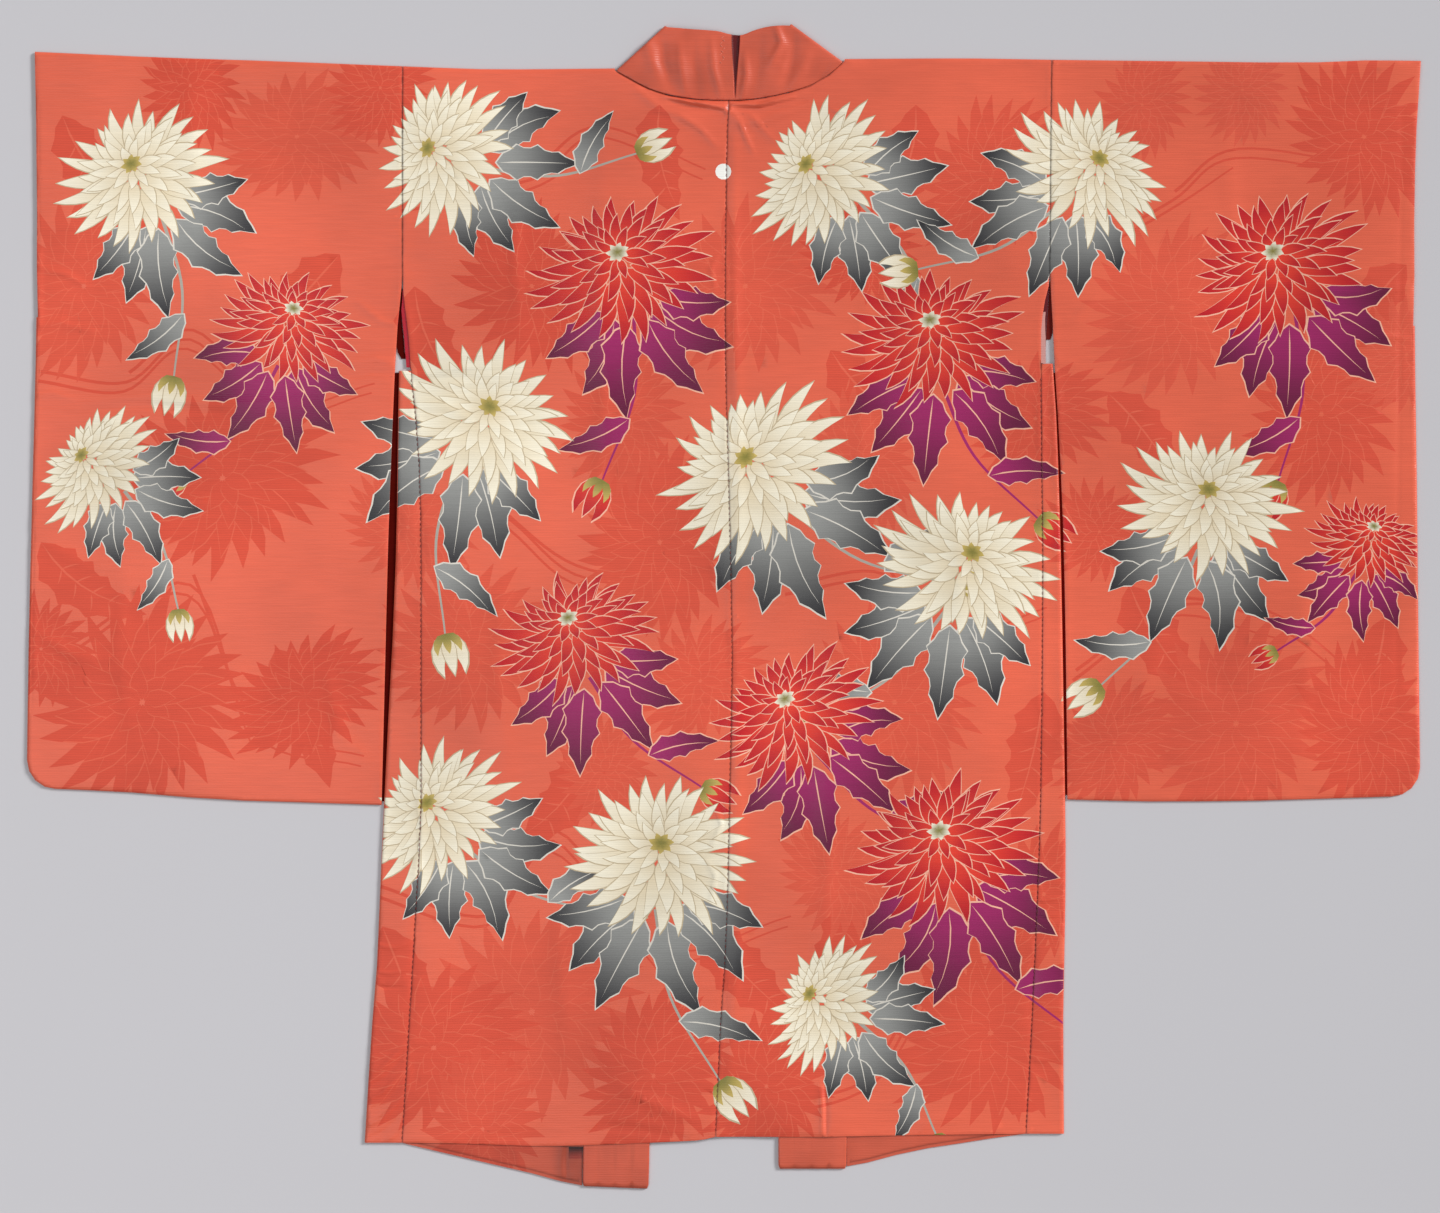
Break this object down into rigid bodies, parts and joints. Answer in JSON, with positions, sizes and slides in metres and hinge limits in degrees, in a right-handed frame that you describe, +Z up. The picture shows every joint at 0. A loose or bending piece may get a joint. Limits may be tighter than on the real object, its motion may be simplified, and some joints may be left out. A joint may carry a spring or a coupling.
{
  "type": "haori jacket",
  "caption": "Woman's silk haori laid flat, back up: square sleeves open along the body side, folded collar band, narrow side gussets.",
  "frame": {"origin": "centre of the garment's outline, on the surface it lies on", "axes": "+X across the garment towards the sleeve on the right as seen from above, +Y from the hem to the collar, +Z up from the surface"},
  "size_m": [1.3068, 1.0922, 0.0059],
  "materials": {
    "body_left": "satin silk, printed",
    "body_right": "satin silk, printed",
    "sleeve_left": "satin silk, printed",
    "sleeve_right": "satin silk, printed",
    "gusset_left": "satin silk",
    "gusset_right": "satin silk",
    "collar": "satin silk"
  },
  "bodies": {
    "root": {"body_left": "body_left", "body_right": "body_right", "sleeve_left": "sleeve_left", "sleeve_right": "sleeve_right", "gusset_left": "gusset_left", "gusset_right": "gusset_right", "collar": "collar"}
  },
  "joints": []
}
